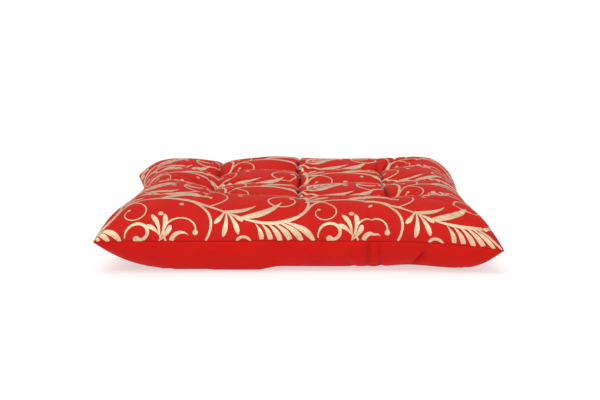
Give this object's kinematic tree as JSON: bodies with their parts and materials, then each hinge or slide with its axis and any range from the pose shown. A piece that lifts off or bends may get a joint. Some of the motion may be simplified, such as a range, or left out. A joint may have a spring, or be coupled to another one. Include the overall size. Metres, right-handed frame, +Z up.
{
  "type": "chair pad",
  "caption": "Square tufted chair pad with a knife-edge seam, a leaf-scroll printed top and a plain under panel, lying flat.",
  "frame": {"origin": "on the surface the pad lies on, under the middle of its outline", "axes": "+Z up out of the printed top, -Y to the front of the pad, +X to its right seen from the front"},
  "size_m": [0.4, 0.4, 0.0713],
  "materials": {
    "printed_cotton": "red woven cotton, the ground of the print",
    "plain_cotton": "plain red woven cotton",
    "gold_print": "gold pigment leaf-scroll print on the cotton"
  },
  "bodies": {
    "root": {"filled_pad": "printed_cotton", "under_panel": "plain_cotton"}
  },
  "joints": []
}
